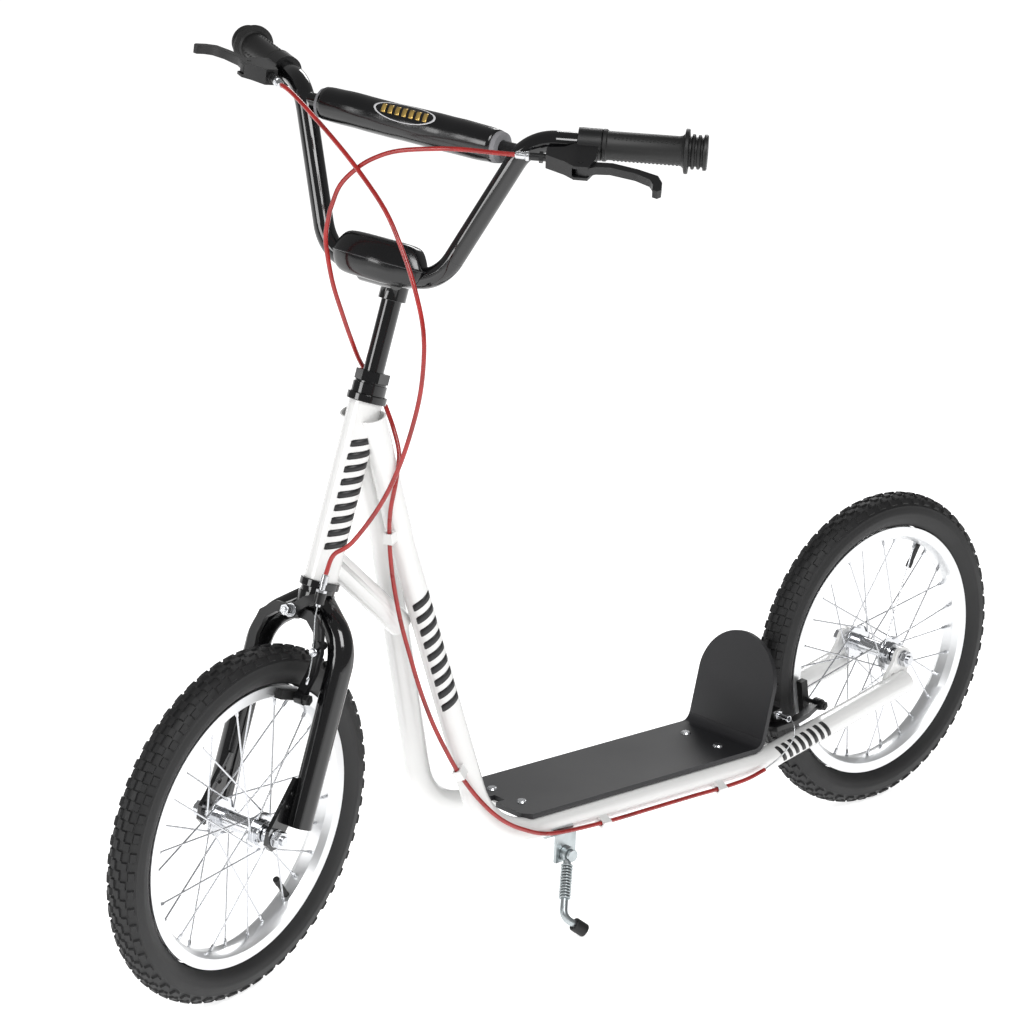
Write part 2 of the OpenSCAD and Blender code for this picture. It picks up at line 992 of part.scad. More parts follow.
module kickstand_bracket() {
  color(zinc)
    difference() {
      union() {
        // Saddle under the tube
        translate([stand_x - 16, stand_y, tube_height])
          rotate([0, 90, 0])
            ring(32, main_tube_d + 5, main_tube_d + 0.1);
        // Ear that the leg turns on
        translate([stand_x - 28, stand_y + 5, 72])
          cube([30, 4, 36]);
      }
      translate([stand_x - 40, stand_y - 40, tube_height - 2])
        cube([80, 80, 60]);
      tube_run(1, tube_front, tube_rear);
      translate([stand_pivot[0], stand_y, stand_pivot[2]])
        rotate([90, 0, 0])
          cylinder(h = 60, d = 8 + 2 * run_fit, center = true);
    }
}

module kickstand_bolt() {
  color(zinc)
    translate([stand_pivot[0], stand_y, stand_pivot[2]])
      rotate([-90, 0, 0]) {
        cylinder(h = 22, d = 8);
        translate([0, 0, -1])
          cylinder(h = 5.8, d = 14, $fn = 6);
        translate([0, 0, 18.4])
          cylinder(h = 4, d = 14);
      }
}

leg_rod_d = 9;

module kickstand_leg() {
  eye = [stand_pivot[0], stand_y + 13.5, stand_pivot[2]];
  color(zinc)
    difference() {
      union() {
        translate(eye)
          rotate([90, 0, 0])
            cylinder(h = 8, d = 18, center = true);
        bent_bar([eye + unit(stand_knee - eye) * 7, stand_knee, stand_tip], [12], leg_rod_d);
      }
      translate([stand_pivot[0], stand_y, stand_pivot[2]])
        rotate([90, 0, 0])
          cylinder(h = 60, d = 8 + 2 * run_fit, center = true);
      // Room for the bolt's head at every angle of the leg
      translate([stand_pivot[0], stand_y + 18, stand_pivot[2]])
        rotate([-90, 0, 0])
          cylinder(h = 20, d = 15);
    }
}

module kickstand_spring() {
  eye = [stand_pivot[0], stand_y + 13.5, stand_pivot[2]];
  way = unit(stand_knee - eye);
  color(zinc)
    along(eye + way * 14, stand_knee)
      for (i = [0:11])
        translate([0, 0, i * 3.4])
          rotate_extrude($fn = 32)
            translate([leg_rod_d / 2 + 1.4, 0])
              circle(d = 2.4, $fn = 16);
}

module kickstand_foot() {
  way = unit(stand_tip - stand_knee);
  color(rubber)
    along(stand_tip - way * 12, stand_tip)
      difference() {
        cylinder(h = 17, d = 16);
        translate([0, 0, -1])
          cylinder(h = 13.1, d = leg_rod_d + 0.02);
      }
}

// ---------- stem and bar ----------
module stem() {
  color(black_paint)
    steering()
      difference() {
        union() {
          translate([0, 0, quill_low])
            cylinder(h = stem_z - 12 - quill_low, d = quill_d);
          translate([0, 0, stem_z - 30])
            cylinder(h = 36, d = 30);
          translate([stem_reach, 0, stem_z])
            rotate([90, 0, 0])
              cylinder(h = 44, d = 36, center = true);
          translate([0, -12, stem_z - 14])
            cube([stem_reach, 24, 26]);
        }
        translate([stem_reach, 0, stem_z])
          rotate([90, 0, 0])
            cylinder(h = 60, d = bar_d + 0.02, center = true);
        translate([0, 0, quill_low - 1])
          cylinder(h = 260, d = 9);
      }
}

module stem_bolt() {
  color(silver)
    steering() {
      translate([0, 0, quill_low - 8])
        cylinder(h = stem_z + 6 - quill_low + 8, d = 8);
      translate([0, 0, stem_z + 6.1])
        cylinder(h = 6, d = 15, $fn = 6);
      // Wedge that locks the quill
      translate([0, 0, quill_low - 22])
        cylinder(h = 21.9, d = quill_d - 0.6);
    }
}

crossbar_z = 757;
crossbar_d = 16;
crossbar_x = 43.5;

module handlebar() {
  half = [bar_end, bar_high, bar_low];
  points = concat(half, [for (i = [2:-1:0]) flip_y(half[i], -1)]);
  bends = [46, 50, 50, 46];
  color(black_paint)
    steering()
      difference() {
        union() {
          bent_bar(points, bends, bar_d);
          translate([crossbar_x, 0, crossbar_z])
            rotate([90, 0, 0])
              cylinder(h = 284, d = crossbar_d, center = true);
        }
        bent_bar(points, bends, bar_d - 4, 1);
      }
}

module crossbar_pad() {
  color(black_paint)
    steering()
      translate([crossbar_x, 0, crossbar_z])
        rotate([90, 0, 0])
          ring_on_centre(236, pad_d, crossbar_d + 0.4);
}

module ring_on_centre(h, d, bore) {
  translate([0, 0, -h / 2])
    ring(h, d, bore);
}

module stem_pad() {
  side_shape = [[-16, -24], [30, -22], [38, 0], [34, 26], [-14, 22], [-24, 0]];
  color(black_paint)
    steering()
      difference() {
        hull()
          for (s = [-1, 1]) {
            translate([stem_reach, s * 34, stem_z + 9])
              rotate([90, 0, 0])
                linear_extrude(height = 1, center = true)
                  polygon(side_shape);
            translate([stem_reach + 4, s * 62, stem_z + 9])
              rotate([90, 0, 0])
                linear_extrude(height = 1, center = true)
                  polygon(side_shape * 0.74);
          }
        // Room for the bar
        translate([stem_reach, 0, stem_z])
          rotate([90, 0, 0])
            cylinder(h = 160, d = bar_d + 3, center = true);
        for (s = [-1, 1])
          along(flip_y(bar_low, s), flip_y(bar_high, s))
            translate([0, 0, -10])
              cylinder(h = 80, d = bar_d + 6);
        // Room for the stem
        translate([-20, -23, stem_z - 40])
          cube([stem_reach + 20 + 19, 46, 60]);
      }
}

// ---------- grips and levers ----------
// Children stand at a bar's end: Z outward along the bar, X away towards the lever
module bar_frame(side, tilt) {
  b = flip_y(bar_end, side);
  out = unit(b - flip_y(bar_high, side));
  ahead = unit(cross([0, 0, 1], out) * -side);
  up = cross(ahead, out) * side;
  x = ahead * cos(tilt) - up * sin(tilt);
  steering()
    placed(b, x, cross(out, x), out)
      children();
}

module grip(side) {
  color(rubber)
    bar_frame(side, 0)
      difference() {
        union() {
          translate([0, 0, -grip_len])
            cylinder(h = grip_len + 3, d = 30);
          translate([0, 0, -20])
            cylinder(h = 4, d = 46);
          translate([0, 0, -13])
            cylinder(h = 3, d = 36);
          translate([0, 0, -7])
            cylinder(h = 3, d = 35);
          translate([0, 0, -1])
            cylinder(h = 4, d = 37);
        }
        translate([0, 0, -grip_len - 1])
          cylinder(h = grip_len + 1 + small, d = bar_d + 0.04);
      }
}

module left_grip() {
  grip(1);
}

module right_grip() {
  grip(-1);
}

lever_x = 42;
lever_z = -122;
bracket_len = 24;
stop_x = 28.5;
stop_end = -178;

module lever_bracket(side, tilt) {
  color(black_paint)
    bar_frame(side, tilt)
      difference() {
        union() {
          translate([0, 0, -grip_len - gap - bracket_len])
            cylinder(h = bracket_len, d = 33);
          rotate([90, 0, 0])
            linear_extrude(height = 17, center = true)
              polygon([[10, -107], [10, -128], [19, -140], [22, -158], [35, -158],
                [44, -138], [51, -128], [51, -114], [36, -107]]);
          translate([stop_x, 0, stop_end])
            cylinder(h = 21, d = 8);
          translate([stop_x, 0, stop_end + 13])
            cylinder(h = 4, d = 12, $fn = 6);
        }
        translate([stop_x, 0, stop_end - 1])
          cylinder(h = 7, d = cable_d + gap);
        translate([stop_x, 0, stop_end])
          cylinder(h = 50, d = stop_bore);
        translate([0, 0, -grip_len - 60])
          cylinder(h = 80, d = bar_d + 0.04);
        // Slot that the lever turns in
        translate([27, -5.2, -130])
          cube([40, 10.4, 30]);
        translate([lever_x, 0, lever_z])
          rotate([90, 0, 0])
            cylinder(h = 40, d = 5 + 2 * run_fit, center = true);
      }
}

module left_lever_bracket() {
  lever_bracket(1, left_lever_tilt);
}

module right_lever_bracket() {
  lever_bracket(-1, right_lever_tilt);
}

module brake_lever(side, tilt) {
  color(black_paint)
    bar_frame(side, tilt) {
      rotate([90, 0, 0])
        linear_extrude(height = 9.6, center = true) {
          polygon([[36, -124], [48, -124], [49, -116], [44.5, -106], [43.5, -92], [50, -66],
            [58, -51], [66, -47], [75, -47], [77, -42], [74, -38], [62, -38], [51, -43],
            [42.5, -64], [35.5, -90], [36, -108]]);
          translate([lever_x, lever_z])
            circle(d = 12);
        }
      translate([lever_x, 0, lever_z])
        rotate([90, 0, 0])
          cylinder(h = 18, d = 5, center = true);
    }
}

module left_brake_lever() {
  brake_lever(1, left_lever_tilt);
}

module right_brake_lever() {
  brake_lever(-1, right_lever_tilt);
}

// ---------- cables along their routes ----------
cable_d = 5;
wire_d = 1.6;

// Fixed to the frame, from behind the headset down the left tube to the rear brake
rear_lower_points = [[313, 3, 628], [309, 13, 604], [313, 28, 580], [322, 35, 553],
  [325, 31, 520], [319, 24, 487], [314, 25, 445], [304, 29, 394], [293, 34, 353],
  [281, 39, 313], [266, 44, 274], [250, 50, 240], [233, 55, 210], [211, 65, 178],
  [185, 72, 152], [151, 73, 132], [105, 72, 116], [22, 71, 110], [-53, 70, 109],
  [-123, 70, 109], [-166, 71, 109], [-209, 72, 111], [-238, 73, 117]];
rear_wire_points = [[-237, 73, 117], [-262, 76, 130], [-280, 77, 148], [-287, 70, 162],
  [-288, 60, 166.4], [-288, 30, 166.4], [-288, -40, 166.4]];

// In the steering frame: from the left lever behind the stem to the top of the headset
rear_upper_points = [[61, 167, 755.6], [70, 151, 753], [79, 134, 750], [88, 107, 746],
  [94, 77, 740], [96, 31, 728], [95, 3, 715], [92, -18, 700], [88, -37, 678],
  [82, -46, 651], [76, -48, 625], [70, -44, 605], [58, -36, 576], [40, -28, 548],
  [18, -25, 524], [-6, -23, 502], [-23, -12, 485]];

// In the steering frame: from the right lever round to the front brake
front_points = [[66.6, -167.5, 767], [75, -152, 764], [82, -128, 757], [91, -70, 730],
  [97, -15, 700], [100, 35, 666], [98, 67, 631], [92, 90, 596], [84, 107, 558],
  [74, 112, 519], [64, 110, 477], [54, 100, 420], [46, 83, 371], [39, 55, 323],
  [36, 34, 304], [35.4, 30, 282]];
front_wire_points = [[35.4, 30, 283], [35.4, 30, 240], [37, 37, 214], [37, 41, 190],
  [37, 42, 170]];

module rear_cable_lower() {
  color(cable_red) {
    cable(smooth_path(rear_lower_points, 2), cable_d);
    cable(smooth_path(rear_wire_points, 2), wire_d);
  }
}

module rear_cable_upper() {
  color(cable_red)
    steering()
      cable(smooth_path(rear_upper_points, 2), cable_d);
}

module front_cable() {
  color(cable_red)
    steering() {
      cable(smooth_path(front_points, 2), cable_d);
      cable(smooth_path(front_wire_points, 2), wire_d);
    }
}

head_tube();
left_main_tube();
right_main_tube();
diagonal_strut();
deck_crossmembers();
brake_bridge();
rear_dropouts();
cable_clips();
deck();
deck_screws();
headset_cups();
kickstand_bracket();
kickstand_bolt();
rear_axle();
rear_brake_bolt();
rear_cable_lower();
kickstand_leg();
kickstand_spring();
kickstand_foot();
rear_tyre();
rear_inner_tube();
rear_rim();
rear_spokes();
rear_hub();
rear_left_arm();
rear_right_arm();
rear_left_pad();
rear_right_pad();
rear_cable_stop();
fork_steerer();
fork_left_leg();
fork_right_leg();
fork_dropouts();
headset_nuts();
front_axle();
front_brake_bolt();
front_left_arm();
front_right_arm();
front_left_pad();
front_right_pad();
front_cable_stop();
front_tyre();
front_inner_tube();
front_rim();
front_spokes();
front_hub();
stem();
stem_bolt();
handlebar();
crossbar_pad();
stem_pad();
left_grip();
right_grip();
left_lever_bracket();
right_lever_bracket();
left_brake_lever();
right_brake_lever();
front_cable();
rear_cable_upper();
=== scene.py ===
# %% [markdown]
# # A kick scooter, built around its CAD frame
# The CAD part fixes every size and every joint. This script dresses it: each CAD node gets
# rounded edges and a procedural material, and tyres, grips, pads and cables get their own shapes.
# Units are metres. +X is forward, +Y the rider's left, +Z up, as in the CAD part.

# %% Load the frame
import json
import math

import bmesh
import bpy
from mathutils import Matrix, Vector, noise


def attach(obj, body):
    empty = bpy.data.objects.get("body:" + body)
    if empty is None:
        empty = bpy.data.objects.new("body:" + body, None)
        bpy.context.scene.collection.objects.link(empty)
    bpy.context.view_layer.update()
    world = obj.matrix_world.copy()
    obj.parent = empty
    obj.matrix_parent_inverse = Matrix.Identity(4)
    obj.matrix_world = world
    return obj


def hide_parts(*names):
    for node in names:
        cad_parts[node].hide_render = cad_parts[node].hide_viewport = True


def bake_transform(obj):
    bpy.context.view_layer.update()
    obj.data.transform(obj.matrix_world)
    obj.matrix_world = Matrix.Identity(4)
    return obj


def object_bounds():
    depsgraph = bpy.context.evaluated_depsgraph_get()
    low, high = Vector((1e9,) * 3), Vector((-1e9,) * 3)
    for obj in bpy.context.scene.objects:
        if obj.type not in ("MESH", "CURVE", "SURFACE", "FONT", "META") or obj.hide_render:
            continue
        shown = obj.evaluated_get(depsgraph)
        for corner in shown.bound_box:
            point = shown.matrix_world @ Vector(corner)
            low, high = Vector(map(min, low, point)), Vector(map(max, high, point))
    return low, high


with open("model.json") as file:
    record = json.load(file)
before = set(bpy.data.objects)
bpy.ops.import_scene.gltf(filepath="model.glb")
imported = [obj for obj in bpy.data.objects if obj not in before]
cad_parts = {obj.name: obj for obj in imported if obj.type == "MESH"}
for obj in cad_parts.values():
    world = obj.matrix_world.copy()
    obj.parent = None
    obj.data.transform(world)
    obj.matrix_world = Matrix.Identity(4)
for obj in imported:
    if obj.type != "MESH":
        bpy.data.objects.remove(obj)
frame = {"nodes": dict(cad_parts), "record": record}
cad_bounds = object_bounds()
MM = 0.001

# %% [markdown]
# ## The shared layout
# The steering group stands in its own frame: Z runs up the steering axis, and the whole frame is
# turned a little to the left. Points given in that frame are in millimetres.

# %% Layout
WHEEL_BASE = 1000
TYRE_D = 396
HEAD_ANGLE = 73.5
RAKE = 32
STEER_TURN = 12
AXLE_Z = TYRE_D / 2
TURN = math.radians(HEAD_ANGLE)
STEER_ORIGIN = Vector((WHEEL_BASE / 2 - RAKE * math.sin(TURN), 0, AXLE_Z - RAKE * math.cos(TURN)))
STEERING = (Matrix.Translation(STEER_ORIGIN) @ Matrix.Rotation(math.radians(HEAD_ANGLE - 90), 4, "Y")
            @ Matrix.Rotation(math.radians(STEER_TURN), 4, "Z"))
FRONT_WHEEL = STEERING @ Matrix.Translation((RAKE, 0, 0))
REAR_WHEEL = Matrix.Translation((-WHEEL_BASE / 2, 0, AXLE_Z))
FRAME = Matrix.Identity(4)


def metres(matrix, point):
    """A point of a millimetre frame, in the row frame."""
    return (matrix @ Vector(point)) * MM


def other_side(point):
    return Vector((point[0], -point[1], point[2]))


print("steering axis foot (mm):", [round(v, 1) for v in STEER_ORIGIN])

# %% [markdown]
# ## Camera
# A long lens from the front left, a little above the bar.

# %% Camera
CAMERA_TARGET = Vector((0.1201, 0, 0.4767))
CAMERA_TURN = math.radians(46.972)
CAMERA_LIFT = math.radians(16.39)
CAMERA_ROLL = math.radians(2.484)
CAMERA_AWAY = 4.0512
back = Vector((math.cos(CAMERA_LIFT) * math.cos(CAMERA_TURN),
               math.cos(CAMERA_LIFT) * math.sin(CAMERA_TURN), math.sin(CAMERA_LIFT)))
level = (-back).cross(Vector((0, 0, 1))).normalized()
upright = level.cross(-back)
image_right = level * math.cos(CAMERA_ROLL) + upright * math.sin(CAMERA_ROLL)
image_up = upright * math.cos(CAMERA_ROLL) - level * math.sin(CAMERA_ROLL)
camera = bpy.data.objects.new("camera", bpy.data.cameras.new("camera"))
camera.data.sensor_width = 36
camera.data.lens = 128.98
camera.data.clip_end = 50
camera.matrix_world = (Matrix.Translation(CAMERA_TARGET + back * CAMERA_AWAY)
                       @ Matrix((image_right, image_up, back)).transposed().to_4x4())
bpy.context.scene.collection.objects.link(camera)
bpy.context.scene.camera = camera
print("camera at", [round(v, 2) for v in camera.matrix_world.translation])

# %% [markdown]
# ## Materials
# Every material is one Principled surface with two noises on Object coordinates: a broad one that
# shifts colour and gloss, and a fine one for the grain.

# %% Materials


def material(name, colour, rough, metal=0.0, coat=0.0, shift=0.1, grain=0.0, size=9.0,
             grain_size=900.0, rough_shift=0.08, stretch=(1, 1, 1)):
    """A procedural surface; shift is how far its colour wanders and grain its bump in metres."""
    mat = bpy.data.materials.new(name)
    mat.use_nodes = True
    nodes, links = mat.node_tree.nodes, mat.node_tree.links
    shader = nodes["Principled BSDF"]
    shader.inputs["Metallic"].default_value = metal
    shader.inputs["Coat Weight"].default_value = coat
    shader.inputs["Coat Roughness"].default_value = 0.05
    place = nodes.new("ShaderNodeTexCoord")
    spread = nodes.new("ShaderNodeMapping")
    spread.inputs["Scale"].default_value = stretch
    links.new(place.outputs["Object"], spread.inputs["Vector"])
    broad = nodes.new("ShaderNodeTexNoise")
    broad.inputs["Scale"].default_value = size
    broad.inputs["Detail"].default_value = 5
    links.new(spread.outputs["Vector"], broad.inputs["Vector"])
    ramp = nodes.new("ShaderNodeValToRGB")
    ramp.color_ramp.elements[0].position = 0.3
    ramp.color_ramp.elements[1].position = 0.7
    ramp.color_ramp.elements[0].color = [c * (1 - shift) for c in colour] + [1]
    ramp.color_ramp.elements[1].color = [min(1, c * (1 + shift)) for c in colour] + [1]
    links.new(broad.outputs["Fac"], ramp.inputs["Fac"])
    links.new(ramp.outputs["Color"], shader.inputs["Base Color"])
    fine = nodes.new("ShaderNodeTexNoise")
    fine.inputs["Scale"].default_value = grain_size
    fine.inputs["Detail"].default_value = 3
    links.new(spread.outputs["Vector"], fine.inputs["Vector"])
    gloss = nodes.new("ShaderNodeMapRange")
    gloss.inputs["To Min"].default_value = max(0.02, rough - rough_shift)
    gloss.inputs["To Max"].default_value = min(1, rough + rough_shift)
    links.new(broad.outputs["Fac"], gloss.inputs["Value"])
    links.new(gloss.outputs["Result"], shader.inputs["Roughness"])
    if grain:
        bump = nodes.new("ShaderNodeBump")
        bump.inputs["Strength"].default_value = 1.0
        bump.inputs["Distance"].default_value = grain
        links.new(fine.outputs["Fac"], bump.inputs["Height"])
        links.new(bump.outputs["Normal"], shader.inputs["Normal"])
    return mat


SLOT_MATERIALS = {
    "frame_paint": material("white_enamel", (0.84, 0.84, 0.83), 0.16, coat=0.6, shift=0.02,
                            grain=0.00001, size=6),
    "deck_coat": material("deck_powder_coat", (0.013, 0.013, 0.015), 0.48, shift=0.15,
                          grain=0.00005, grain_size=1600),
    "bright_steel": material("bright_steel", (0.62, 0.63, 0.65), 0.24, metal=1, shift=0.1,
                             grain=0.00001, grain_size=2500),
    "rim_alloy": material("rim_alloy", (0.80, 0.81, 0.82), 0.34, metal=0.85, shift=0.04,
                          grain=0.00001, size=14),
    "hub_chrome": material("hub_chrome", (0.66, 0.67, 0.69), 0.14, metal=1, shift=0.08,
                           grain=0.00001),
    "zinc_steel": material("zinc_steel", (0.46, 0.50, 0.51), 0.36, metal=1, shift=0.18,
                           grain=0.00003, size=60),
    "black_paint": material("black_enamel", (0.004, 0.004, 0.0045), 0.10, coat=0.4, shift=0.2,
                            grain=0.00001, size=8),
    "brake_black": material("brake_black", (0.005, 0.005, 0.0055), 0.30, coat=0.1, shift=0.2,
                            grain=0.00002),
    "lever_plastic": material("lever_plastic", (0.006, 0.006, 0.0065), 0.38, shift=0.2,
                              grain=0.00003, grain_size=1800),
    "pad_cover": material("pad_vinyl", (0.003, 0.003, 0.0035), 0.16, coat=0.2, shift=0.2,
                          grain=0.00006, grain_size=1200),
    "grip_rubber": material("grip_rubber", (0.006, 0.006, 0.006), 0.50, shift=0.25,
                            grain=0.00005, grain_size=1500),
    "tyre_rubber": material("tyre_rubber", (0.008, 0.008, 0.0085), 0.58, shift=0.2,
                            grain=0.00006, grain_size=1300, size=30),
    "tube_rubber": material("tube_rubber", (0.02, 0.02, 0.02), 0.6, shift=0.2, grain=0.00004),
    "cable_cover": material("red_cable_cover", (0.32, 0.014, 0.012), 0.28, coat=0.3, shift=0.25,
                            grain=0.00001, size=40),
}
FOAM = material("grey_foam", (0.20, 0.20, 0.21), 0.9, shift=0.12, grain=0.0003, grain_size=500)
GOLD = material("gold_foil", (0.62, 0.42, 0.12), 0.3, metal=0.7, shift=0.15, size=80, grain=0.00001)
INK = material("black_ink", (0.012, 0.012, 0.013), 0.4, shift=0.2, size=50, grain=0.00001)
WIRE = material("twisted_wire", (0.5, 0.51, 0.52), 0.3, metal=1, shift=0.3, size=700, grain=0.00003)
DARK_PIPING = material("dark_piping", (0.02, 0.02, 0.022), 0.2, coat=0.3, shift=0.2,
                       grain=0.00003)
PIPING = material("pale_piping", (0.55, 0.55, 0.56), 0.45, shift=0.1, grain=0.00003)
print(len(SLOT_MATERIALS), "slot materials")

# %% [markdown]
# ## Making pieces
# A finished piece has its place in its mesh and its object at the origin.

# %% Making pieces
NODE_BODY = {n: b for b, names in frame["record"]["behaviour"]["bodies"].items() for n in names}
NODE_SLOT = {s["node"]: s["material_slot"] for s in frame["record"]["subparts"]}
SMOOTH_ANGLE = math.radians(35)


def finished(name, bm, body, mat, stands_for=(), matrix=None, smooth=SMOOTH_ANGLE):
    """Turns a bmesh, in millimetres if it has a matrix, into a piece that rides a body."""
    if matrix is not None:
        bmesh.ops.transform(bm, matrix=Matrix.Scale(MM, 4) @ matrix, verts=bm.verts)
    bmesh.ops.recalc_face_normals(bm, faces=bm.faces)
    mesh = bpy.data.meshes.new(name)
    bm.to_mesh(mesh)
    bm.free()
    mesh.shade_smooth()
    mesh.set_sharp_from_angle(angle=smooth)
    mesh.materials.append(mat)
    piece = bpy.data.objects.new(name, mesh)
    bpy.context.scene.collection.objects.link(piece)
    if body:
        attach(piece, body)
    if stands_for:
        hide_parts(*stands_for)
    return piece


def rounded_copy(node, edge_mm, segments=2):
    """A copy of a CAD node with its sharp edges rounded, which stands for it."""
    bm = bmesh.new()
    bm.from_mesh(frame["nodes"][node].data)
    bmesh.ops.remove_doubles(bm, verts=bm.verts, dist=0.000002)
    bmesh.ops.dissolve_limit(bm, angle_limit=math.radians(0.5), verts=bm.verts, edges=bm.edges)
    slot = NODE_SLOT[node]
    piece = finished(node + "_shape", bm, NODE_BODY[node], SLOT_MATERIALS[slot], (node,))
    if edge_mm:
        bevel = piece.modifiers.new("edges", "BEVEL")
        bevel.width = edge_mm * MM
        bevel.segments = segments
        bevel.limit_method = "ANGLE"
        bevel.angle_limit = math.radians(38)
        bevel.harden_normals = True
    return piece


def lathe(bm, profile, steps, closed=True):
    """Spins (radius, along) points about the Z axis."""
    verts = [bm.verts.new((r, 0, z)) for r, z in profile]
    pairs = list(zip(verts, verts[1:] + verts[:1])) if closed else list(zip(verts, verts[1:]))
    edges = [bm.edges.new(p) for p in pairs]
    bmesh.ops.spin(bm, geom=verts + edges, cent=(0, 0, 0), axis=(0, 0, 1),
                   angle=math.tau, steps=steps, use_merge=True)


def loft(bm, rings, closed=False):
    """Skins a list of point rings, all with the same count; capped unless closed on itself."""
    rows = [[bm.verts.new(p) for p in ring] for ring in rings]
    n = len(rows[0])
    pairs = list(zip(rows, rows[1:])) + ([(rows[-1], rows[0])] if closed else [])
    for a, b in pairs:
        for i in range(n):
            j = (i + 1) % n
            bm.faces.new((a[i], a[j], b[j], b[i]))
    if not closed:
        bm.faces.new(rows[0])
        bm.faces.new(rows[-1])
    return rows


def box_between(bm, low, high):
    """A box from eight corner points: four of its low face, then four of its high face."""
    a = [bm.verts.new(p) for p in low]
    b = [bm.verts.new(p) for p in high]
    bm.faces.new(a)
    bm.faces.new(b)
    for i in range(4):
        j = (i + 1) % 4
        bm.faces.new((a[i], a[j], b[j], b[i]))


print("helpers ready")

# %% [markdown]
# ## Rounded metal and plastic
# Most nodes keep their CAD shape and get only a fine edge.

# %% Rounded CAD nodes
EDGES_MM = {
    "head_tube": 0.5, "left_main_tube": 0.4, "right_main_tube": 0.4, "diagonal_strut": 0,
    "deck_crossmembers": 0.6, "brake_bridge": 0.8, "rear_dropouts": 0.7, "cable_clips": 0.9,
    "deck": 1.2, "deck_screws": 0.4, "headset_cups": 0.7, "headset_nuts": 0.6,
    "kickstand_bracket": 0.5, "kickstand_bolt": 0.5, "kickstand_leg": 0.6, "kickstand_foot": 1.5,
    "rear_axle": 0.5, "front_axle": 0.5, "rear_brake_bolt": 0.5, "front_brake_bolt": 0.5,
    "front_cable_stop": 0.3, "rear_cable_stop": 0.3, "fork_steerer": 0.8, "fork_left_leg": 0.4,
    "fork_right_leg": 0.4, "fork_dropouts": 0.7, "front_hub": 0.6, "rear_hub": 0.6,
    "front_rim": 0.4, "rear_rim": 0.4, "stem": 1.2, "stem_bolt": 0.5, "handlebar": 0.4,
    "front_left_arm": 1.1, "front_right_arm": 1.1, "rear_left_arm": 1.1, "rear_right_arm": 1.1,
    "front_left_pad": 1.0, "front_right_pad": 1.0, "rear_left_pad": 1.0, "rear_right_pad": 1.0,
    "left_lever_bracket": 1.2, "right_lever_bracket": 1.2, "left_brake_lever": 1.8,
    "right_brake_lever": 1.8, "front_spokes": 0, "rear_spokes": 0,
    "front_inner_tube": 0, "rear_inner_tube": 0, "kickstand_spring": 0,
}
for node, edge in EDGES_MM.items():
    rounded_copy(node, edge)
print(len(EDGES_MM), "nodes rounded")

# %% [markdown]
# ## Tyres
# A tyre is one rubber section spun round the axle. The knobs are separate tapered blocks, sunk a
# little into the carcass, because a real tread is moulded that way and bump alone has no outline.

# %% Tyres
CARCASS_R = 175.25
CARCASS_WALL = 20.4
TREAD_TOP = 22.7
KNOBS_ROUND = 58
WHEEL_TO_AXLE = Matrix.Rotation(math.radians(90), 4, "X")
TREAD_ROWS = [(-47, 7.0, 10.0, 0.5), (-25, 6.2, 9.0, 0.0), (-8, 5.0, 11.0, 0.5),
              (8, 5.0, 11.0, 0.0), (25, 6.2, 9.0, 0.5), (47, 7.0, 10.0, 0.0)]


def carcass_profile():
    """Closed section of the carcass as (radius, along), with two thin rings on each side wall."""
    points = [(158.2, -12.0)]
    for i in range(49):
        a = math.radians(-128 + 256 * i / 48)
        r = CARCASS_WALL + (0.5 if abs(abs(math.degrees(a)) - 92) < 3 else 0)
        r += 0.6 if abs(abs(math.degrees(a)) - 64) < 3 else 0
        points.append((CARCASS_R + r * math.cos(a), r * math.sin(a)))
    points.append((158.2, 12.0))
    for i in range(13):
        a = math.radians(125 - 250 * i / 12)
        points.append((CARCASS_R + 17 * math.cos(a), 17 * math.sin(a)))
    return points


def knob(bm, turn, lean, wide, long):
    """One tread block at an angle round the wheel and a lean across the section."""
    rows = []
    for r, share in ((CARCASS_WALL - 0.7, 1.12), (TREAD_TOP, 0.86)):
        row = []
        for a, b in ((-1, -1), (1, -1), (1, 1), (-1, 1)):
            across = lean + a * share * math.degrees(wide / 2 / r)
            radius = CARCASS_R + r * math.cos(math.radians(across))
            way = turn + b * share * long / 2 / radius
            row.append((radius * math.cos(way), radius * math.sin(way),
                        r * math.sin(math.radians(across))))
        rows.append(row)
    box_between(bm, rows[0], rows[1])


for end, axle, body in (("front", FRONT_WHEEL, "front_wheel"), ("rear", REAR_WHEEL, "rear_wheel")):
    bm = bmesh.new()
    lathe(bm, carcass_profile(), 144)
    finished(end + "_tyre_carcass", bm, body, SLOT_MATERIALS["tyre_rubber"],
             (end + "_tyre",), matrix=axle @ WHEEL_TO_AXLE)
    bm = bmesh.new()
    for i in range(KNOBS_ROUND):
        for lean, wide, long, step in TREAD_ROWS:
            knob(bm, math.tau * (i + step) / KNOBS_ROUND, lean, wide, long)
    tread = finished(end + "_tyre_tread", bm, body, SLOT_MATERIALS["tyre_rubber"],
                     matrix=axle @ WHEEL_TO_AXLE, smooth=math.radians(20))
    print(tread.name, len(tread.data.polygons), "faces")

# %% [markdown]
# ## Spoke nipples
# Each spoke ends in a small nut at the rim. They are lathed once per spoke on the spoke's line.

# %% Spoke nipples
SPOKES = 28
SPOKE_LEAD = 68
NIPPLE = [(0.2, 0), (1.5, 0), (1.9, 1), (1.9, 8), (1.4, 9.5), (0.2, 9.5)]


def aim(start, end):
    """A frame at start whose Z runs to end."""
    return Matrix.Translation(start) @ (end - start).to_track_quat("Z", "Y").to_matrix().to_4x4()


